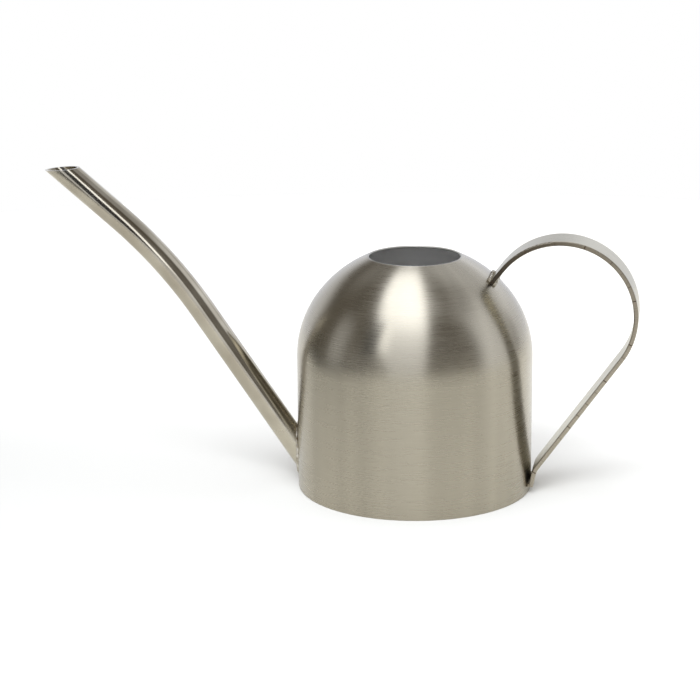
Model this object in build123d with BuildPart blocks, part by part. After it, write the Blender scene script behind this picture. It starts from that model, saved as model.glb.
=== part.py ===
# Indoor watering can in brushed stainless steel, in eight welded pieces.
#
# A drawn shell makes the round wall and the dome in one piece, open at the top. A base disc closes
# it below with a flush seam weld. A plain round tube is coped and welded on low at the front, rises
# steeply and flattens toward its mouth. A flat strap is bent into the handle: it lands square on the
# dome, arches over and comes down in a straight run to a small tab on the wall.
# Nothing on the can moves.
#
# Frame, in mm: +Z up, origin at the centre of the underside, spout toward -X, handle toward +X.
# XZ is the plane of symmetry.
from build123d import *
import os
from math import acos, atan, atan2, cos, degrees, hypot, radians, sin, sqrt, tan

os.makedirs("parts", exist_ok=True)

# ---------------------------------------------------------------- driving dimensions
sheet = 1.0                  # steel sheet of the shell and the base

body_radius = 65.0           # outside of the round wall
wall_height = 74.1           # floor to the line where the wall starts to close in
dome_rise = 61.1             # what the dome would add to the wall if it closed at the top
filler_radius = 25.0         # the round opening at the top
rim_rounding = 0.45 * sheet  # both edges of the opening, ground smooth
foot_rounding = 0.4 * sheet  # outer edge of the shell at the floor

base_gap = 0.05              # base disc to shell, all round
seam_depth = 0.7 * sheet     # V groove between them that the seam weld fills
seam_bevel = 0.5 * sheet     # half of that groove's width at the floor
groove_radius = 50.0         # centre line of the stiffening ring pressed up in the base
groove_width = 9.0
groove_rise = 1.5

spout_radius = 7.0           # outside of the tube
spout_wall = 1.0
spout_foot_clear = 4.0       # floor to the lowest point of the tube's outside
spout_foot_slope = 55.46     # degrees above level
spout_run = 96.6             # straight from the wall to the bend
spout_bend_radius = 260.7    # to the tube's axis
spout_bend = 15.24           # degrees that the bend takes off the slope
spout_tip = 41.3             # straight from the bend to the middle of the mouth
mouth_tilt = 5.0             # degrees that the mouth's outer lip hangs below level

strap_width = 22.0
strap_thickness = 2.5
strap_edge = 0.7             # rounding of the strap's long edges
arch_radius = 40.3           # to the middle of the strap
arch_reach = 15.85           # centre of the arch beyond the wall
arch_rise = 27.0             # centre of the arch above the wall's top
landing_slope = 51.8         # degrees above level where the strap leaves the dome
tab_height = 12.8            # corner of the bend above the lower tab, from the floor
tab_lean = 10.7              # degrees that the tab leans off the wall's own line
tab_bite = 0.3               # how far the tab's end is ground to the wall's curve
tab_bend_radius = 11.0       # to the middle of the strap
tab_end = 3.9                # lower end of the tab above the floor

spout_bead = 1.5             # leg of the weld around the spout's foot
dome_bead = 1.4              # leg of the weld around the strap on the dome
tab_bead = 1.0               # leg of the weld around the tab
tab_weld_rise = 2.0          # the weld climbs the tab's sides this far above its end

# ---------------------------------------------------------------- values that follow
inner_radius = body_radius - sheet
disc_radius = inner_radius - base_gap
spout_bore = spout_radius - spout_wall
spout_root = 2 * spout_radius   # length of tube inside the wall before it is coped away
strap_root = body_radius        # length of strap inside the dome before it is coped away
spout_foot_height = spout_foot_clear + spout_radius / cos(radians(spout_foot_slope))

# The dome follows half an ellipse with two arcs that run on without a corner: a shoulder arc with
# the ellipse's own radius at the wall, then a crown arc centred on the can's axis.
shoulder_radius = dome_rise**2 / body_radius
shoulder_x = body_radius - shoulder_radius
crown_radius = body_radius * (body_radius + dome_rise) / (2 * dome_rise)
crown_z = wall_height + dome_rise - crown_radius
shoulder_turn = degrees(atan((crown_radius - dome_rise) / shoulder_x))

# the pressed ring is an arc of this radius on its hollow side
groove_arc = (groove_width**2 / 4 + groove_rise**2) / (2 * groove_rise)
groove_back = sqrt((groove_arc + sheet) ** 2 - (groove_arc - groove_rise + sheet) ** 2)

# handle, seen from the side: the straight run is tangent to the arch and ends at the tab's bend
arch_x = body_radius + arch_reach
arch_z = wall_height + arch_rise
tab_offset = (tab_height - tab_end) * tan(radians(tab_lean))
bend_x = body_radius + tab_offset + strap_thickness / 2 * cos(radians(tab_lean)) - tab_bite
bend_distance = hypot(bend_x - arch_x, tab_height - arch_z)
arch_end = degrees(atan2(tab_height - arch_z, bend_x - arch_x) + acos(arch_radius / bend_distance))
arch_sweep = landing_slope + 90 - arch_end
tab_turn = -arch_end - tab_lean
tab_setback = tab_bend_radius * tan(radians(tab_turn / 2))
strap_run = sqrt(bend_distance**2 - arch_radius**2) - tab_setback
tab_length = (tab_height - tab_end) / cos(radians(tab_lean)) - tab_setback


# ---------------------------------------------------------------- centre lines, in the XZ plane
with BuildLine(Plane.XZ) as spout_path:
    spout_heading = 180 - spout_foot_slope
    spout_rise = PolarLine(
        (
            -body_radius - spout_root * cos(radians(spout_heading)),
            spout_foot_height - spout_root * sin(radians(spout_heading)),
        ),
        spout_root + spout_run,
        spout_heading,
    )
    spout_curve = JernArc(spout_rise @ 1, spout_rise % 1, spout_bend_radius, spout_bend)
    mouth_middle = spout_curve @ 1 + (spout_curve % 1) * spout_tip
    Line(spout_curve @ 1, mouth_middle + (spout_curve % 1) * spout_root)
spout_start = Plane(origin=spout_rise @ 0, z_dir=spout_rise % 0, x_dir=(0, 1, 0))

with BuildLine(Plane.XZ) as strap_path:
    strap_landing = PolarLine(
        (
            arch_x - arch_radius * sin(radians(landing_slope)) - strap_root * cos(radians(landing_slope)),
            arch_z + arch_radius * cos(radians(landing_slope)) - strap_root * sin(radians(landing_slope)),
        ),
        strap_root,
        landing_slope,
    )
    strap_arch = JernArc(strap_landing @ 1, strap_landing % 1, arch_radius, -arch_sweep)
    strap_straight = Line(strap_arch @ 1, strap_arch @ 1 + (strap_arch % 1) * strap_run)
    strap_bend = JernArc(strap_straight @ 1, strap_straight % 1, tab_bend_radius, tab_turn)
    Line(strap_bend @ 1, strap_bend @ 1 + (strap_bend % 1) * tab_length)
strap_start = Plane(origin=strap_landing @ 0, z_dir=strap_landing % 0, x_dir=(0, 1, 0))


# ---------------------------------------------------------------- shared forms
def dome_arcs(grow, crown_end):
    """Half section of the dome, grown outward: shoulder arc, then crown arc up to that angle."""
    CenterArc((shoulder_x, wall_height), shoulder_radius + grow, 0, shoulder_turn)
    return CenterArc((0, crown_z), crown_radius + grow, shoulder_turn, crown_end - shoulder_turn)


def body_form(grow):
    """The outside of the can as one solid block, grown outward, to cope and to shape the welds."""
    radius = body_radius + grow
    with BuildPart() as form:
        with BuildSketch(Plane.XZ):
            with BuildLine():
                Line((0, -body_radius), (radius, -body_radius))
                Line((radius, -body_radius), (radius, wall_height))
                dome = dome_arcs(grow, 90)
                Line(dome @ 1, (0, -body_radius))
            make_face()
        revolve(axis=Axis.Z)
    return form.part


def along_spout(radius):
    """A round bar of this radius along the spout, from inside the can to past the mouth."""
    with BuildPart() as bar:
        with BuildSketch(spout_start):
            Circle(radius)
        sweep(path=spout_path.wire())
    return bar.part


def along_strap(grow):
    """The handle's strap, from inside the dome to the end of the tab, grown on all four sides."""
    with BuildPart() as bar:
        with BuildSketch(strap_start):
            RectangleRounded(strap_width + 2 * grow, strap_thickness + 2 * grow, strap_edge + grow)
        sweep(path=strap_path.wire())
    return bar.part


solid_can = body_form(0)
solid_spout = along_spout(spout_radius)
solid_strap = along_strap(0)

# ---------------------------------------------------------------- shell: wall and dome in one piece
with BuildPart() as dome_body:
    with BuildSketch(Plane.XZ):
        with BuildLine():
            outer_wall = Line((body_radius, 0), (body_radius, wall_height))
            outer_crown = dome_arcs(0, degrees(acos(filler_radius / crown_radius)))
            inner_crown = dome_arcs(-sheet, degrees(acos(filler_radius / (crown_radius - sheet))))
            Line(outer_crown @ 1, inner_crown @ 1)
            inner_wall = Line((inner_radius, wall_height), (inner_radius, seam_depth))
            bevel = Line(inner_wall @ 1, (inner_radius + seam_bevel, 0))
            Line(bevel @ 1, outer_wall @ 0)
        make_face()
    revolve(axis=Axis.Z)
    rim = dome_body.edges().filter_by(GeomType.CIRCLE).group_by(Axis.Z)
    fillet(rim[-1] + rim[-2], rim_rounding)
    fillet(dome_body.edges().filter_by(GeomType.CIRCLE).group_by(Axis.Z)[0].sort_by(SortBy.RADIUS)[-1],
           foot_rounding)
    # the port under the spout's foot, as wide as the tube's bore
    with BuildSketch(spout_start):
        Circle(spout_bore)
    extrude(amount=2 * spout_root, mode=Mode.SUBTRACT)
dome_body.part.label = "dome_body"
export_step(dome_body.part, "parts/dome_body.step")

# ---------------------------------------------------------------- base disc with a pressed ring
with BuildPart() as base_plate:
    with BuildSketch(Plane.XZ):
        with BuildLine():
            Line((0, 0), (groove_radius - groove_width / 2, 0))
            ThreePointArc(
                (groove_radius - groove_width / 2, 0),
                (groove_radius, groove_rise),
                (groove_radius + groove_width / 2, 0),
            )
            Line((groove_radius + groove_width / 2, 0), (disc_radius - seam_bevel, 0))
            Line((disc_radius - seam_bevel, 0), (disc_radius, seam_depth))
            Line((disc_radius, seam_depth), (disc_radius, sheet))
            Line((disc_radius, sheet), (groove_radius + groove_back, sheet))
            ThreePointArc(
                (groove_radius + groove_back, sheet),
                (groove_radius, groove_rise + sheet),
                (groove_radius - groove_back, sheet),
            )
            Line((groove_radius - groove_back, sheet), (0, sheet))
            Line((0, sheet), (0, 0))
        make_face()
    revolve(axis=Axis.Z)
base_plate.part.label = "base_plate"
export_step(base_plate.part, "parts/base_plate.step")

# ---------------------------------------------------------------- seam weld, ground flush
with BuildPart() as base_seam_weld:
    with BuildSketch(Plane.XZ):
        with BuildLine():
            Polyline(
                (disc_radius - seam_bevel, 0),
                (inner_radius + seam_bevel, 0),
                (inner_radius, seam_depth),
                (disc_radius, seam_depth),
                close=True,
            )
        make_face()
    revolve(axis=Axis.Z)
base_seam_weld.part.label = "base_seam_weld"
export_step(base_seam_weld.part, "parts/base_seam_weld.step")

# ---------------------------------------------------------------- spout
mouth_normal = (-sin(radians(mouth_tilt)), 0, cos(radians(mouth_tilt)))
mouth_plane = Plane(origin=mouth_middle, x_dir=(0, 1, 0), z_dir=mouth_normal)

with BuildPart() as spout_tube:
    add(solid_spout)
    add(along_spout(spout_bore), mode=Mode.SUBTRACT)
    add(solid_can, mode=Mode.SUBTRACT)
    split(bisect_by=mouth_plane, keep=Keep.BOTTOM)
spout_tube.part.label = "spout_tube"
export_step(spout_tube.part, "parts/spout_tube.step")

with BuildPart() as spout_weld:
    add(along_spout(spout_radius + spout_bead))
    add(body_form(spout_bead), mode=Mode.INTERSECT)
    add(solid_can, mode=Mode.SUBTRACT)
    add(solid_spout, mode=Mode.SUBTRACT)
spout_weld.part.label = "spout_weld"
export_step(spout_weld.part, "parts/spout_weld.step")

# ---------------------------------------------------------------- handle
with BuildPart() as handle_strap:
    add(solid_strap)
    add(solid_can, mode=Mode.SUBTRACT)
handle_strap.part.label = "handle_strap"
export_step(handle_strap.part, "parts/handle_strap.step")

with BuildPart() as handle_upper_weld:
    add(along_strap(dome_bead))
    add(body_form(dome_bead), mode=Mode.INTERSECT)
    add(solid_can, mode=Mode.SUBTRACT)
    add(solid_strap, mode=Mode.SUBTRACT)
    with Locations((body_radius / 2, 0, wall_height)):
        Box(
            body_radius, 2 * strap_width, 2 * dome_rise,
            align=(Align.CENTER, Align.CENTER, Align.MIN), mode=Mode.INTERSECT,
        )
handle_upper_weld.part.label = "handle_upper_weld"
export_step(handle_upper_weld.part, "parts/handle_upper_weld.step")

with BuildPart() as handle_lower_weld:
    add(along_strap(tab_bead))
    add(body_form(tab_bead), mode=Mode.INTERSECT)
    add(solid_can, mode=Mode.SUBTRACT)
    add(solid_strap, mode=Mode.SUBTRACT)
    with Locations((body_radius, 0, 0)):
        Box(
            body_radius, 2 * strap_width, tab_end + tab_weld_rise,
            align=(Align.CENTER, Align.CENTER, Align.MIN), mode=Mode.INTERSECT,
        )
handle_lower_weld.part.label = "handle_lower_weld"
export_step(handle_lower_weld.part, "parts/handle_lower_weld.step")
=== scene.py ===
# %% [markdown]
# # A brushed steel watering can
# The can is a small welded vessel: one drawn shell, a base disc, a bent tube and a bent strap. The
# CAD model already holds every shape and size, so this lesson loads it as a fixed frame and spends its
# effort on what the eye reads as real steel: the direction of the brushing, the lumpy welds, the
# sheared edges, and the studio that all of it reflects.

# %% Load the frame
from math import atan2, cos, pi, radians, sin

import bmesh
import bpy
from mathutils import Matrix, Vector, noise


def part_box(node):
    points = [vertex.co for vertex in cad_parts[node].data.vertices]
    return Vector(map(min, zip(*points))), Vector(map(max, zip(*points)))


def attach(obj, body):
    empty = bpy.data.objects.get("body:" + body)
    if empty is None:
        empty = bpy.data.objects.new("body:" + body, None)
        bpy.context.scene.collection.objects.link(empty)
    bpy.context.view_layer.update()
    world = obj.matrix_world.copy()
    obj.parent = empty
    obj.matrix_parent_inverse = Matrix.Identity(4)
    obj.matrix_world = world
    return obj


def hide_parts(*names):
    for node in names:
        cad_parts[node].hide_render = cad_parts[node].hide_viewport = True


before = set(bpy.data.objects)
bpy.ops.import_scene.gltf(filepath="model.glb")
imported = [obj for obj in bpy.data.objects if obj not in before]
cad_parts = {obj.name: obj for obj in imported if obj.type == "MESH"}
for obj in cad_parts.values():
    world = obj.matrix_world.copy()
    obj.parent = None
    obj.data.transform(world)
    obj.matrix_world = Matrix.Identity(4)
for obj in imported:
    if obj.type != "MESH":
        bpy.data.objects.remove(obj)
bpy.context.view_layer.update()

MM = 0.001
body_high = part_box("dome_body")[1]
strap_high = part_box("handle_strap")[1]

# %% [markdown]
# ## Helpers
# Colours are picked as sRGB hex, the way a colour chart prints them, but shaders add and multiply light,
# so every hex is turned linear once, here. The second helper adds one node to a material: its settings,
# then its inputs, where an input may be a plain value or another node to link from.

# %% Helpers
def linear(hex_colour):
    """An sRGB hex colour such as "#a9a393" as linear RGBA."""
    channels = [int(hex_colour[i : i + 2], 16) / 255 for i in (1, 3, 5)]
    return [c / 12.92 if c <= 0.04045 else ((c + 0.055) / 1.055) ** 2.4 for c in channels] + [1.0]


def put(tree, kind, settings={}, inputs={}):
    """Adds a shader node. An input given as a node or a socket is linked, anything else is its value."""
    node = tree.nodes.new("ShaderNode" + kind)
    for name, value in settings.items():
        setattr(node, name, value)
    for name, value in inputs.items():
        if isinstance(value, bpy.types.Node):
            value = value.outputs[0]
        if isinstance(value, bpy.types.NodeSocket):
            tree.links.new(value, node.inputs[name])
        else:
            node.inputs[name].default_value = value
    return node


def stops(ramp_node, *shades):
    """Fills a colour ramp with (position, linear RGBA) stops, first to last."""
    ramp = ramp_node.color_ramp
    while len(ramp.elements) < len(shades):
        ramp.elements.new(0.5)
    for element, (position, colour) in zip(list(ramp.elements), shades):
        element.position = position
    for element, (position, colour) in zip(list(ramp.elements), shades):
        element.color = colour
    return ramp_node


def new_material(name):
    """An empty node material and its tree."""
    material = bpy.data.materials.new(name)
    material.use_nodes = True
    material.node_tree.nodes.clear()
    return material, material.node_tree


def dress(node_name, material):
    """Gives a CAD node this material in every slot."""
    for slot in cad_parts[node_name].material_slots:
        slot.material = material
    print(node_name, "is", material.name)

# %% [markdown]
# ## The camera
# A long lens, a little above the can and slightly to the handle's side. It keeps the round opening a
# thin ellipse and the wall's two sides nearly upright.

# %% Camera
FOCAL_TO_WIDTH = 2129 / 700  # focal length over the width of the frame
camera_data = bpy.data.cameras.new("camera")
camera_data.sensor_width = 36
camera_data.lens = FOCAL_TO_WIDTH * camera_data.sensor_width
camera_data.clip_start = 0.05
camera = bpy.data.objects.new("camera", camera_data)
bpy.context.scene.collection.objects.link(camera)
heading, dip, lean = radians(9.8), radians(15.15), radians(-0.4775)
camera.matrix_world = (
    Matrix.Translation((0.1580, -1.1245, 0.3844))
    @ Matrix.Rotation(heading, 4, "Z")
    @ Matrix.Rotation(pi / 2 - dip, 4, "X")
    @ Matrix.Rotation(lean, 4, "Z")
)
bpy.context.scene.camera = camera
print("lens", round(camera_data.lens, 1), "mm")

# %% [markdown]
# ## The studio
# Polished metal has almost no colour of its own: what we see on it is the room. So the room is built
# with care. The can stands on a sheet of white paper, lit from above until it is almost pure white. The
# paper glows a little by itself as well, which keeps it white while its shadows stay soft and pale.

# %% White paper
PAPER_RADIUS = 0.85
outline = bmesh.new()
bmesh.ops.create_circle(outline, cap_ends=True, radius=PAPER_RADIUS, segments=128)
paper_mesh = bpy.data.meshes.new("studio_floor")
outline.to_mesh(paper_mesh)
outline.free()
paper = bpy.data.objects.new("studio_floor", paper_mesh)
bpy.context.scene.collection.objects.link(paper)
white_paper, tree = new_material("matt white paper")
place = put(tree, "TexCoord")
axes = put(tree, "SeparateXYZ", {}, {0: place.outputs["Object"]})
# The glow is a pool round the can, stronger on its right, behind it and toward the far left. Each part
# of it runs between two distances in metres and from one strength to another.
pool = put(tree, "VectorMath", {"operation": "LENGTH"}, {0: place.outputs["Object"]}).outputs["Value"]
pool = put(tree, "MapRange", {"interpolation_type": "SMOOTHSTEP"},
           {0: pool, 1: 0.30, 2: 0.08, 3: 0.0, 4: 0.08})
rightward = put(tree, "Math", {"operation": "MULTIPLY_ADD"},
                {0: axes.outputs[1], 1: 0.8, 2: axes.outputs[0]})
right_side = put(tree, "MapRange", {"interpolation_type": "SMOOTHSTEP"},
                 {0: rightward, 1: 0.06, 2: 0.30, 3: 0.02, 4: 0.18})
back_side = put(tree, "MapRange", {"interpolation_type": "SMOOTHSTEP"},
                {0: axes.outputs[1], 1: -0.04, 2: 0.30, 3: 0.0, 4: 0.32})
glow_level = put(tree, "Math", {"operation": "ADD"}, {0: pool, 1: right_side})
glow_level = put(tree, "Math", {"operation": "ADD"}, {0: glow_level, 1: back_side})
far_left = put(tree, "MapRange", {"interpolation_type": "SMOOTHSTEP"},
               {0: axes.outputs[0], 1: -0.30, 2: -0.60, 3: 0.0, 4: 0.30})
glow_level = put(tree, "Math", {"operation": "ADD"}, {0: glow_level, 1: far_left})
glow = put(tree, "Emission", {}, {"Color": (1, 1, 1, 1), "Strength": glow_level})
matt = put(tree, "BsdfDiffuse", {}, {"Color": linear("#cbc8bf")})
both = put(tree, "AddShader", {}, {0: glow, 1: matt})
put(tree, "OutputMaterial", {}, {"Surface": both})
paper_mesh.materials.append(white_paper)
print("white paper,", PAPER_RADIUS, "m in radius")

# %% [markdown]
# A wide lamp in front and above throws the soft shadow behind the can. The larger a lamp is beside the
# thing it lights, the softer the shadow's edge. It is hidden from reflections, so the steel doesn't show
# a second bright shape next to the softbox.

# %% Front lamp
lamp_data = bpy.data.lights.new("front_lamp", "AREA")
lamp_data.shape, lamp_data.size, lamp_data.size_y, lamp_data.energy = "RECTANGLE", 1.1, 0.5, 12.0
front_lamp = bpy.data.objects.new("front_lamp", lamp_data)
bpy.context.scene.collection.objects.link(front_lamp)
front_lamp.location = (0.05, -0.75, 0.90)
toward_can = Vector((0, 0, 0.05)) - front_lamp.location
front_lamp.rotation_euler = toward_can.to_track_quat("-Z", "Y").to_euler()
front_lamp.visible_glossy = False
lamp_data.color = (0.93, 0.985, 1.10)
print("front lamp", round(toward_can.length, 2), "m from the can")

# %% [markdown]
# Round the can are white boards in a dim room, and a long softbox hangs over it and comes down toward
# the camera. They live in the world shader, as regions of direction, so nothing stands in the way when
# the camera goes round the can.

# %% Boards and softbox
DARK_ROOM, SOFTBOX = 0.16, 3.5
BOARDS = [  # name, azimuth, elevation, half width, half height, soft edge (degrees), brightness
    ("white backdrop", -174, 0, 54, 22, 7, 0.90),
    ("backdrop, right side carried up", 153, 43, 26, 26, 10, 0.80),
    ("right board", 100, 12, 24, 33, 9, 1.12),
    ("high right board", 92, 54, 30, 10, 8, 0.38),
    ("high left board", -137, 48, 20, 10, 8, 0.25),
    ("grey strip on the left", -76, 15, 10, 20, 4, 0.55),
    ("softbox's right wing", 52, 70, 16, 7, 5, 0.80),
    ("low board, front left", -42, 2, 20, 14, 8, 0.22),
    ("low board, front right", 50, 14, 24, 22, 10, 0.12),
]
world = bpy.data.worlds.new("studio")
bpy.context.scene.world = world
world.use_nodes = True
tree = world.node_tree
tree.nodes.clear()
direction = put(tree, "TexCoord")
axes = put(tree, "SeparateXYZ", {}, {0: direction.outputs["Generated"]})
right, up = axes.outputs[0], axes.outputs[2]
front = put(tree, "Math", {"operation": "MULTIPLY"}, {0: axes.outputs[1], 1: -1.0})
azimuth = put(tree, "Math", {"operation": "ARCTAN2"}, {0: right, 1: front})
elevation = put(tree, "Math", {"operation": "ARCSINE"}, {0: up})
light = None
for name, az, el, half_az, half_el, soft, bright in BOARDS:
    turn = put(tree, "Math", {"operation": "SUBTRACT"}, {0: azimuth, 1: radians(az)})
    folded = put(tree, "Math", {"operation": "WRAP"}, {0: turn, 1: pi, 2: -pi})
    aside = put(tree, "Math", {"operation": "ABSOLUTE"}, {0: folded})
    climb = put(tree, "Math", {"operation": "SUBTRACT"}, {0: elevation, 1: radians(el)})
    above = put(tree, "Math", {"operation": "ABSOLUTE"}, {0: climb})
    across = put(tree, "MapRange", {"interpolation_type": "SMOOTHSTEP"},
                 {0: aside, 1: radians(half_az + soft), 2: radians(half_az - soft), 3: 0.0, 4: bright})
    upward = put(tree, "MapRange", {"interpolation_type": "SMOOTHSTEP"},
                 {0: above, 1: radians(half_el + soft), 2: radians(half_el - soft), 3: 0.0, 4: 1.0})
    light = put(tree, "Math", {"operation": "MULTIPLY_ADD"}, {0: across, 1: upward, 2: light or 0.0})

# the softbox is a long wedge, widest toward the camera and closing just behind the zenith:
# |right + 0.145 up| < 0.275 up + 0.33 front
off_centre = put(tree, "Math", {"operation": "MULTIPLY_ADD"}, {0: up, 1: 0.145, 2: right})
off_centre = put(tree, "Math", {"operation": "ABSOLUTE"}, {0: off_centre})
wide_up = put(tree, "Math", {"operation": "MULTIPLY"}, {0: up, 1: 0.275})
wide = put(tree, "Math", {"operation": "MULTIPLY_ADD"}, {0: front, 1: 0.33, 2: wide_up})
inside = put(tree, "Math", {"operation": "SUBTRACT"}, {0: wide, 1: off_centre})
beam = put(tree, "MapRange", {"interpolation_type": "SMOOTHSTEP"}, {0: inside, 1: -0.03, 2: 0.04})
behind = put(tree, "Math", {"operation": "MULTIPLY_ADD"}, {0: up, 1: 0.50, 2: front})
closed = put(tree, "MapRange", {"interpolation_type": "SMOOTHSTEP"}, {0: behind, 1: -0.08, 2: 0.08})
POWER_BY_HEIGHT = ((0.0, 0.26), (0.35, 0.38), (0.62, 0.46), (0.82, 0.87), (1.0, 0.95))
power = stops(put(tree, "ValToRGB", {}, {0: up}),
              *((place, (level, level, level, 1)) for place, level in POWER_BY_HEIGHT))
lit = put(tree, "Math", {"operation": "MULTIPLY"}, {0: beam, 1: closed})
lit = put(tree, "Math", {"operation": "MULTIPLY"}, {0: lit, 1: power})
light = put(tree, "Math", {"operation": "MULTIPLY_ADD"}, {0: lit, 1: SOFTBOX, 2: light})

# the camera itself sees plain white behind the can from every side
room = put(tree, "Background", {}, {"Color": (1.08, 0.98, 0.86, 1), "Strength": DARK_ROOM})
lamps = put(tree, "Background", {}, {"Color": (0.93, 0.985, 1.12, 1), "Strength": light})
studio = put(tree, "AddShader", {}, {0: room, 1: lamps})
plain = put(tree, "Background", {}, {"Color": (1, 1, 1, 1), "Strength": 1.0})
ray = put(tree, "LightPath")
mixed = put(tree, "MixShader", {}, {0: ray.outputs["Is Camera Ray"], 1: studio, 2: plain})
put(tree, "OutputWorld", {}, {"Surface": mixed})
bpy.context.scene.view_settings.view_transform = "Standard"
print(len(BOARDS), "boards and a softbox of strength", SOFTBOX)

# %% [markdown]
# A mirror-bright tube asks for its own lighting. A black flag is set close to it, and next to
# the flag the edge of the softbox draws a thin bright line. A third card lies past the paper's left edge,
# where a studio's floor is dark. All three are seen in reflections only.

# %% Cards that only reflections see
def card(name, corners, brightness):
    """A flat card that only reflections see."""
    mesh = bpy.data.meshes.new(name)
    mesh.from_pydata(corners, [], [(0, 1, 2, 3)])
    board = bpy.data.objects.new(name, mesh)
    bpy.context.scene.collection.objects.link(board)
    for sense in ("camera", "diffuse", "shadow", "transmission", "volume_scatter"):
        setattr(board, "visible_" + sense, False)
    finish, tree = new_material(name + " card")
    shine = put(tree, "Emission", {}, {"Color": (0.94, 0.98, 1.08, 1), "Strength": brightness})
    put(tree, "OutputMaterial", {}, {"Surface": shine})
    mesh.materials.append(finish)
    print(name, "card, first corner", corners[0])


def upright(left, right, front, bottom, top):
    """The corners of an upright card that faces the can."""
    return [(left, front, bottom), (right, front, bottom), (right, front, top), (left, front, top)]


card("black_flag", upright(-0.21, -0.118, -0.24, 0.14, 0.37), 0.06)
card("softbox_edge", upright(-0.118, -0.07, -0.24, 0.16, 0.44), 2.8)
# the edge of the dark floor runs straight back, then back and to the left
LEFT_EDGE, JUST_ABOVE = -0.40, 0.5 * MM
edge_on_floor = [(-1.6, -0.9), (LEFT_EDGE, -0.9), (LEFT_EDGE, 0.0), (LEFT_EDGE - 0.64, 0.8)]
card("dark_floor", [(across, back, JUST_ABOVE) for across, back in edge_on_floor], 0.12)

# %% [markdown]
# ## Brushed stainless steel, the shell
# The shell is spun against an abrasive belt, so its scratches run round the can, each some 10 to 20 mm
# long and thinner than a hair. A scratch spreads light across itself, so highlights smear up and
# down the can and stay crisp from side to side: that is the anisotropy, turned a quarter so that the
# long axis stands upright. The scratches themselves are noise, stretched 40 to 1 round the can. They
# are drawn coarser than life, 22 mm long and 0.55 mm apart, because the true pitch is too fine to show.

# %% Shell material
WALL_HEIGHT, DOME_RISE = 74.1, 61.1  # the dome would rise this far if it closed at the top
RADIUS = body_high.x / MM
RIM_OUTER, RIM_INNER, DOME_ONLY = 26.0, 25.8, 100.0  # the ground edge: by radius, above this height
BAND_WIDTH = 15
SCRATCH_LENGTH, SCRATCH_PITCH = 22.0, 0.55
brushed, tree = new_material("brushed stainless steel")
place = put(tree, "TexCoord")
to_mm = put(tree, "VectorMath", {"operation": "SCALE"}, {0: place.outputs["Object"], "Scale": 1 / MM})
axes = put(tree, "SeparateXYZ", {}, {0: to_mm})
x, y, z = axes.outputs
flat = put(tree, "CombineXYZ", {}, {0: x, 1: y})
radius = put(tree, "VectorMath", {"operation": "LENGTH"}, {0: flat}).outputs["Value"]
outward = put(tree, "VectorMath", {"operation": "NORMALIZE"}, {0: flat})
above_wall = put(tree, "Math", {"operation": "SUBTRACT"}, {0: z, 1: WALL_HEIGHT})
above_wall = put(tree, "Math", {"operation": "MAXIMUM"}, {0: above_wall, 1: 0.0})
dome_angle = put(tree, "Math", {"operation": "ARCTAN2"}, {0: above_wall, 1: radius})
on_wall = put(tree, "Math", {"operation": "MINIMUM"}, {0: z, 1: WALL_HEIGHT})
along = put(tree, "Math", {"operation": "MULTIPLY_ADD"}, {0: dome_angle, 1: RADIUS, 2: on_wall})
rim_line = put(tree, "VectorMath", {"operation": "SCALE"}, {0: outward, "Scale": RADIUS})
ring = put(tree, "SeparateXYZ", {}, {0: rim_line})


def scratches(tree, ring, along, length, pitch, detail):
    """Noise stretched round the can: length along the scratch and pitch across it, in mm."""
    long_x = put(tree, "Math", {"operation": "DIVIDE"}, {0: ring.outputs[0], 1: length})
    long_y = put(tree, "Math", {"operation": "DIVIDE"}, {0: ring.outputs[1], 1: length})
    across = put(tree, "Math", {"operation": "DIVIDE"}, {0: along, 1: pitch})
    spot = put(tree, "CombineXYZ", {}, {0: long_x, 1: long_y, 2: across})
    return put(tree, "TexNoise", {}, {"Vector": spot, "Scale": 1.0, "Detail": detail, "Roughness": 0.5})


fine = scratches(tree, ring, along, SCRATCH_LENGTH, SCRATCH_PITCH, 2.0)
broad = scratches(tree, ring, along, 4 * SCRATCH_LENGTH, 5 * SCRATCH_PITCH, 2.0)
cloud = put(tree, "TexNoise", {}, {"Vector": to_mm, "Scale": 0.035, "Detail": 2.0})
streak = put(tree, "Mix", {}, {0: 0.20, 2: fine, 3: broad})
tone = stops(put(tree, "ValToRGB", {}, {0: streak}), (0.30, linear("#a39c8c")), (0.70, linear("#a8a190")))
satin = put(tree, "MapRange", {}, {0: streak, 1: 0.3, 2: 0.7, 3: 0.22, 4: 0.29})
satin = put(tree, "Math", {"operation": "MULTIPLY_ADD"}, {0: cloud, 1: 0.06, 2: satin})
height = put(tree, "Math", {"operation": "MULTIPLY"}, {0: streak, 1: 0.03 * MM})
bump = put(tree, "Bump", {}, {"Height": height, "Distance": 1.0, "Strength": 0.13})

# inside the shell: the steel as it left the press, half matt, and painted near white, which is painted
# light that brightens the dim inside seen through the opening. Wall and dome are close to an ellipse,
# whose level is 1 on the outside and a little less on the inside.
squash = put(tree, "Math", {"operation": "DIVIDE"}, {0: above_wall, 1: DOME_RISE})
squash = put(tree, "Math", {"operation": "POWER"}, {0: squash, 1: 2.0})
spread = put(tree, "Math", {"operation": "DIVIDE"}, {0: radius, 1: RADIUS})
spread = put(tree, "Math", {"operation": "POWER"}, {0: spread, 1: 2.0})
shell_level = put(tree, "Math", {"operation": "ADD"}, {0: squash, 1: spread})
is_inside = put(tree, "MapRange", {}, {0: shell_level, 1: 0.988, 2: 0.982})
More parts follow.
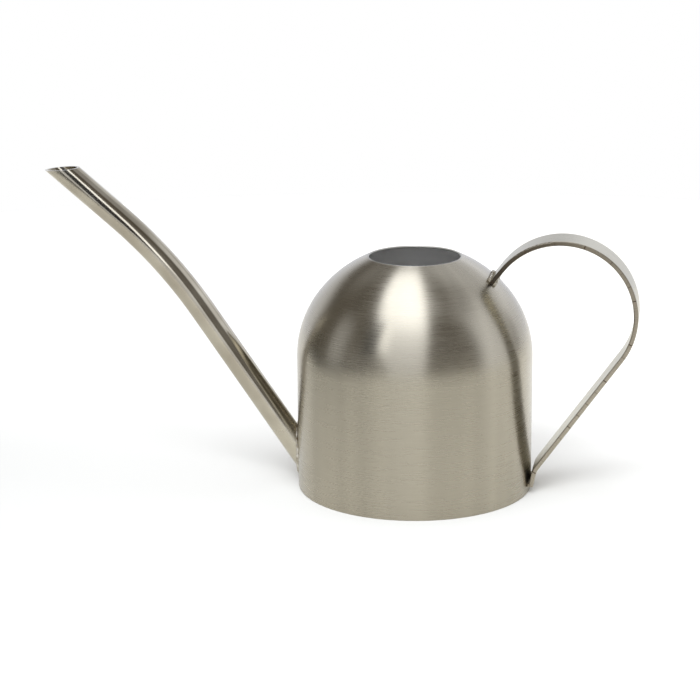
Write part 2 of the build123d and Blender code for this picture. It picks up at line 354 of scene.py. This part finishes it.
# belt passes overlap in soft upright bands
band_spot = put(tree, "VectorMath", {"operation": "SCALE"}, {0: rim_line, "Scale": 1 / BAND_WIDTH})
bands = put(tree, "TexNoise", {}, {"Vector": band_spot, "Scale": 1.0, "Detail": 1.0})
bands = put(tree, "MapRange", {}, {0: bands, 1: 0.3, 2: 0.7, 3: 0.93, 4: 1.06})
tone = put(tree, "VectorMath", {"operation": "SCALE"}, {0: tone, "Scale": bands})
# the near-white inside colour is painted light
colour = put(tree, "Mix", {"data_type": "RGBA"}, {0: is_inside, 6: tone, 7: linear("#f1efeb")})
rough = put(tree, "Mix", {}, {0: is_inside, 2: satin, 3: 0.38})
# the opening's edge is ground and polished
at_rim = put(tree, "MapRange", {}, {0: radius, 1: RIM_OUTER, 2: RIM_INNER})
on_top = put(tree, "Math", {"operation": "GREATER_THAN"}, {0: z, 1: DOME_ONLY})
at_rim = put(tree, "Math", {"operation": "MULTIPLY"}, {0: at_rim, 1: on_top})
colour = put(tree, "Mix", {"data_type": "RGBA"}, {0: at_rim, 6: colour.outputs[2], 7: linear("#aaa79e")})
rough = put(tree, "Mix", {}, {0: at_rim, 2: rough, 3: 0.45})
# sanding scatters light, and so does the unpolished inside
bare = put(tree, "MapRange", {}, {0: at_rim, 1: 0.0, 2: 1.0, 3: 1.0, 4: 0.80})
matt_inside = put(tree, "MapRange", {}, {0: is_inside, 1: 0.0, 2: 1.0, 3: 1.0, 4: 0.50})
bare = put(tree, "Math", {"operation": "MINIMUM"}, {0: bare, 1: matt_inside})
round_can = put(tree, "Tangent", {"direction_type": "RADIAL", "axis": "Z"})
shader = put(tree, "BsdfPrincipled", {}, {
    "Base Color": colour.outputs[2], "Metallic": bare, "Roughness": rough, "Normal": bump,
    "Anisotropic": 0.6, "Anisotropic Rotation": 0.25, "Tangent": round_can,
})
put(tree, "OutputMaterial", {}, {"Surface": shader})
dress("dome_body", brushed)

# %% [markdown]
# ## Polished tube, the spout
# The tube is drawn and then polished on a wheel, so it is the shiniest piece: it shows the room as thin
# lines along its length. Round the foot the weld was ground back by hand, and the grinder left a duller
# and paler patch.

# %% Spout material
polished, tree = new_material("polished stainless tube")
place = put(tree, "TexCoord")
to_mm = put(tree, "VectorMath", {"operation": "SCALE"}, {0: place.outputs["Object"], "Scale": 1 / MM})
axes = put(tree, "SeparateXYZ", {}, {0: to_mm})
marks = put(tree, "TexNoise", {}, {"Vector": to_mm, "Scale": 0.9, "Detail": 3.0})
blotch = put(tree, "TexNoise", {}, {"Vector": to_mm, "Scale": 0.06, "Detail": 2.0})
foot = put(tree, "MapRange", {"interpolation_type": "SMOOTHSTEP"}, {0: axes.outputs[2], 1: 42.0, 2: 24.0})
ground = put(tree, "Math", {"operation": "MULTIPLY"}, {0: foot, 1: 0.16})
sheen = put(tree, "Math", {"operation": "MULTIPLY_ADD"}, {0: marks, 1: 0.05, 2: 0.08})
sheen = put(tree, "Math", {"operation": "MULTIPLY_ADD"}, {0: blotch, 1: 0.06, 2: sheen})
rough = put(tree, "Math", {"operation": "ADD"}, {0: sheen, 1: ground})
tone = stops(put(tree, "ValToRGB", {}, {0: blotch}), (0.35, linear("#a49c8b")), (0.65, linear("#b3ac9b")))
colour = put(tree, "Mix", {"data_type": "RGBA"}, {0: foot, 6: tone, 7: linear("#bab3a1")})
height = put(tree, "Math", {"operation": "MULTIPLY"}, {0: marks, 1: 0.006 * MM})
bump = put(tree, "Bump", {}, {"Height": height, "Distance": 1.0, "Strength": 0.4})
shader = put(tree, "BsdfPrincipled", {}, {
    "Base Color": colour.outputs[2], "Metallic": 1.0, "Roughness": rough, "Normal": bump,
})
put(tree, "OutputMaterial", {}, {"Surface": shader})
dress("spout_tube", polished)

# %% [markdown]
# ## Strip steel, the handle
# The strap is cut from strip. Its two broad faces keep the strip's long, fine grain. Its edges are where
# the shear went through: darker, rougher, and marked across by the tool, with a deeper nick now and
# then. So one material asks which way the surface looks: sideways is edge, anything else is face.

# %% Strap material
STRAP_THICKNESS, ARCH_RADIUS, NICK_SPACING = 2.5, 40.3, 8.2
RUN_SLOPE = radians(54.64)  # the straight run below the arch, down from level
arch_x = strap_high.x / MM - ARCH_RADIUS - STRAP_THICKNESS / 2
arch_z = strap_high.z / MM - ARCH_RADIUS - STRAP_THICKNESS / 2
run_dir = (-cos(RUN_SLOPE), 0.0, -sin(RUN_SLOPE))
run_start = (arch_x + ARCH_RADIUS * sin(RUN_SLOPE), 0.0, arch_z - ARCH_RADIUS * cos(RUN_SLOPE))
strip, tree = new_material("sheared strip steel")
place = put(tree, "TexCoord")
to_mm = put(tree, "VectorMath", {"operation": "SCALE"}, {0: place.outputs["Object"], "Scale": 1 / MM})
axes = put(tree, "SeparateXYZ", {}, {0: to_mm})
surface = put(tree, "NewGeometry")
looks = put(tree, "SeparateXYZ", {}, {0: surface.outputs["True Normal"]})
sideways = put(tree, "Math", {"operation": "ABSOLUTE"}, {0: looks.outputs[1]})
is_edge = put(tree, "MapRange", {}, {0: sideways, 1: 0.45, 2: 0.75})
# distance along the strap from the top of the arch: back to the dome is negative, down the run positive
from_centre = put(tree, "VectorMath", {"operation": "SUBTRACT"}, {0: to_mm, 1: (arch_x, 0.0, arch_z)})
polar = put(tree, "SeparateXYZ", {}, {0: from_centre})
leftward = put(tree, "Math", {"operation": "MULTIPLY"}, {0: polar.outputs[0], 1: -1.0})
angle = put(tree, "Math", {"operation": "ARCTAN2"}, {0: leftward, 1: polar.outputs[2]})  # 0 at the top
round_arch = put(tree, "Math", {"operation": "MULTIPLY"}, {0: angle, 1: -ARCH_RADIUS})
from_run = put(tree, "VectorMath", {"operation": "SUBTRACT"}, {0: to_mm, 1: run_start})
down_run = put(tree, "VectorMath", {"operation": "DOT_PRODUCT"}, {0: from_run, 1: run_dir})
down_run = down_run.outputs["Value"]
on_run = put(tree, "Math", {"operation": "GREATER_THAN"}, {0: down_run, 1: 0.0})
below_arch = put(tree, "Math", {"operation": "LESS_THAN"},
                 {0: axes.outputs[2], 1: run_start[2] + STRAP_THICKNESS})
on_run = put(tree, "Math", {"operation": "MULTIPLY"}, {0: on_run, 1: below_arch})
down_all = put(tree, "Math", {"operation": "ADD"}, {0: down_run, 1: ARCH_RADIUS * (pi - RUN_SLOPE)})
length = put(tree, "Mix", {}, {0: on_run, 2: round_arch, 3: down_all})
# faces: grain lines along the strap, 0.4 mm apart
grain_spot = put(tree, "VectorMath", {"operation": "MULTIPLY"}, {0: to_mm, 1: (0.03, 2.4, 0.03)})
grain = put(tree, "TexNoise", {}, {"Vector": grain_spot, "Scale": 1.0, "Detail": 3.0})
# edges: shear marks across, 0.6 mm apart
mark_spot = put(tree, "CombineXYZ", {}, {0: length})
shear = put(tree, "TexNoise", {}, {"Vector": mark_spot, "Scale": 1.6, "Detail": 4.0, "Roughness": 0.7})
beat = put(tree, "Math", {"operation": "DIVIDE"}, {0: length, 1: NICK_SPACING})
beat = put(tree, "Math", {"operation": "FRACT"}, {0: beat})
beat = put(tree, "Math", {"operation": "SUBTRACT"}, {0: beat, 1: 0.5})
beat = put(tree, "Math", {"operation": "ABSOLUTE"}, {0: beat})
nick = put(tree, "MapRange", {}, {0: beat, 1: 0.05, 2: 0.02})
chance = put(tree, "TexNoise", {}, {"Vector": mark_spot, "Scale": 0.11, "Detail": 0.0})
chance = put(tree, "MapRange", {}, {0: chance, 1: 0.44, 2: 0.58})
nick = put(tree, "Math", {"operation": "MULTIPLY"}, {0: nick, 1: chance})
face_tone = stops(put(tree, "ValToRGB", {}, {0: grain}),
                  (0.30, linear("#a8a28f")), (0.70, linear("#bfb9a5")))
edge_low = put(tree, "MapRange", {}, {0: length, 1: -90.0, 2: 110.0})
# the edge is darkest at the dome and lighter down the run: torch brown at the root, and along the arch
# painted shade that stands for the dark body mirrored in the edge's rounding
edge_brown_and_shade = stops(put(tree, "ValToRGB", {}, {0: edge_low}),
                  (0.15, linear("#3a332a")), (0.40, linear("#5f574a")), (0.52, linear("#857c6c")),
                  (1.0, linear("#aca392")))
shade = put(tree, "MapRange", {}, {0: shear, 1: 0.3, 2: 0.7, 3: 0.72, 4: 1.18})
edge_tone = put(tree, "VectorMath", {"operation": "SCALE"}, {0: edge_brown_and_shade, "Scale": shade})
edge_dark = put(tree, "Mix", {"data_type": "RGBA"}, {0: nick, 6: edge_tone, 7: linear("#4a3c2e")})
colour = put(tree, "Mix", {"data_type": "RGBA"}, {0: is_edge, 6: face_tone, 7: edge_dark.outputs[2]})
face_rough = put(tree, "MapRange", {}, {0: grain, 1: 0.3, 2: 0.7, 3: 0.26, 4: 0.36})
edge_rough = put(tree, "MapRange", {}, {0: shear, 1: 0.3, 2: 0.7, 3: 0.42, 4: 0.55})
rough = put(tree, "Mix", {}, {0: is_edge, 2: face_rough, 3: edge_rough})
relief = put(tree, "Mix", {}, {0: is_edge, 2: grain, 3: shear})
height = put(tree, "Math", {"operation": "MULTIPLY"}, {0: relief, 1: 0.03 * MM})
bump = put(tree, "Bump", {}, {"Height": height, "Distance": 1.0, "Strength": 0.5})
shader = put(tree, "BsdfPrincipled", {}, {
    "Base Color": colour.outputs[2], "Metallic": 1.0, "Roughness": rough, "Normal": bump,
})
put(tree, "OutputMaterial", {}, {"Surface": shader})
dress("handle_strap", strip)

# %% [markdown]
# ## Sheet steel, the base
# The base is a disc of plain cold-rolled sheet with one ring pressed in to keep it flat. Nobody brushed
# or polished it, so it is paler and duller than the shell. Below, it has the fine scuffs of a thing that
# is put down and turned on a table.

# %% Base material
sheet, tree = new_material("cold-rolled stainless sheet")
place = put(tree, "TexCoord")
to_mm = put(tree, "VectorMath", {"operation": "SCALE"}, {0: place.outputs["Object"], "Scale": 1 / MM})
cloud = put(tree, "TexNoise", {}, {"Vector": to_mm, "Scale": 0.05, "Detail": 3.0})
orange_peel = put(tree, "TexNoise", {}, {"Vector": to_mm, "Scale": 2.2, "Detail": 2.0})
scuff_spot = put(tree, "VectorMath", {"operation": "MULTIPLY"}, {0: to_mm, 1: (0.05, 1.6, 1.0)})
scuff = put(tree, "TexNoise", {}, {"Vector": scuff_spot, "Scale": 1.0, "Detail": 4.0, "Distortion": 0.6})
scuff = put(tree, "MapRange", {}, {0: scuff, 1: 0.60, 2: 0.72})
tone = stops(put(tree, "ValToRGB", {}, {0: cloud}), (0.30, linear("#cccbc6")), (0.70, linear("#dcdbd6")))
colour = put(tree, "Mix", {"data_type": "RGBA"}, {0: scuff, 6: tone, 7: linear("#a3a19a")})
rough = put(tree, "MapRange", {}, {0: orange_peel, 1: 0.3, 2: 0.7, 3: 0.44, 4: 0.58})
height = put(tree, "Math", {"operation": "MULTIPLY_ADD"}, {0: scuff, 1: -0.6, 2: orange_peel})
height = put(tree, "Math", {"operation": "MULTIPLY"}, {0: height, 1: 0.02 * MM})
bump = put(tree, "Bump", {}, {"Height": height, "Distance": 1.0, "Strength": 0.5})
shader = put(tree, "BsdfPrincipled", {}, {
    "Base Color": colour.outputs[2], "Metallic": 1.0, "Roughness": rough, "Normal": bump,
})
put(tree, "OutputMaterial", {}, {"Surface": shader})
dress("base_plate", sheet)

# %% [markdown]
# ## Welds
# Stainless is welded with a thin torch, and the bead is a row of small frozen puddles. Heat leaves straw
# and brown tints beside it. The filler melts at both sides of the strap's root, so the upper bead shows
# most. Each bead here starts as the CAD weld's own shape. It is given an even skin, softened a little,
# and then pushed out and in along its seam, once for each puddle. The seam round the base was ground
# flush, so it keeps its plain shape and only takes the weld's metal.

# %% Weld material
bead_steel, tree = new_material("tig weld bead")
place = put(tree, "TexCoord")
to_mm = put(tree, "VectorMath", {"operation": "SCALE"}, {0: place.outputs["Object"], "Scale": 1 / MM})
heat = put(tree, "TexNoise", {}, {"Vector": to_mm, "Scale": 0.35, "Detail": 2.0})
grit = put(tree, "TexNoise", {}, {"Vector": to_mm, "Scale": 2.5, "Detail": 3.0})
tint = stops(put(tree, "ValToRGB", {}, {0: heat}),
             (0.30, linear("#7b6d57")), (0.42, linear("#aaa291")), (0.62, linear("#cbc6ba")))
rough = put(tree, "MapRange", {}, {0: grit, 1: 0.3, 2: 0.7, 3: 0.28, 4: 0.46})
height = put(tree, "Math", {"operation": "MULTIPLY"}, {0: grit, 1: 0.05 * MM})
bump = put(tree, "Bump", {}, {"Height": height, "Distance": 1.0, "Strength": 0.6})
shader = put(tree, "BsdfPrincipled", {}, {
    "Base Color": tint, "Metallic": 1.0, "Roughness": rough, "Normal": bump,
})
put(tree, "OutputMaterial", {}, {"Surface": shader})
dress("base_seam_weld", bead_steel)

# %% Weld beads
noise.seed_set(7)
LUMP = 1.6 * MM  # size of the random lumps that lie over the puddles


def bead(node_name, seam_place, puddle, rise, skin=0.25 * MM, half_width=1.0):
    """A lumpy bead in place of a CAD weld.

    seam_place(point) is the distance along the seam, puddle the length of one puddle, rise its height,
    skin the size of the new mesh's cells. half_width keeps a bead between the strap's edges, and its
    default of a whole metre is no limit at all.
    """
    piece = bpy.data.objects.new(node_name + "_bead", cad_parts[node_name].data.copy())
    bpy.context.scene.collection.objects.link(piece)
    even = piece.modifiers.new("even_skin", "REMESH")
    even.mode, even.voxel_size = "VOXEL", skin
    melt = piece.modifiers.new("melt", "SMOOTH")
    melt.factor, melt.iterations = 0.5, 5
    shaped = piece.evaluated_get(bpy.context.evaluated_depsgraph_get())
    melted = bpy.data.meshes.new_from_object(shaped)
    piece.modifiers.clear()
    piece.data = melted
    for vertex, normal in zip(melted.vertices, [v.normal.copy() for v in melted.vertices]):
        frozen = abs(sin(pi * seam_place(vertex.co) / puddle)) - 0.5
        lump = noise.noise(vertex.co / LUMP)
        vertex.co += normal * (rise * frozen + 0.6 * rise * lump)
        vertex.co.y = max(-half_width, min(half_width, vertex.co.y))
    melted.shade_smooth()
    melted.materials.clear()
    melted.materials.append(bead_steel)
    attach(piece, "root")
    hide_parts(node_name)
    print(piece.name, len(melted.vertices), "points")


foot_low, foot_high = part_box("spout_weld")
foot_mid = (foot_low.z + foot_high.z) / 2
foot_lean = (foot_high.y - foot_low.y) / (foot_high.z - foot_low.z)
FOOT_RADIUS = 11 * MM  # of the oval seam round the spout's foot, on average


def round_foot(point):
    """Distance along the seam round the spout's foot."""
    return FOOT_RADIUS * atan2(point.y, foot_lean * (point.z - foot_mid))


def across_strap(point):
    """Distance along the two seams that run straight across the strap."""
    return point.y


bead("spout_weld", round_foot, puddle=2.0 * MM, rise=0.25 * MM)
bead("handle_upper_weld", across_strap, puddle=2.8 * MM, rise=0.5 * MM, half_width=10.4 * MM)
bead("handle_lower_weld", across_strap, puddle=2.4 * MM, rise=0.2 * MM, skin=0.10 * MM)
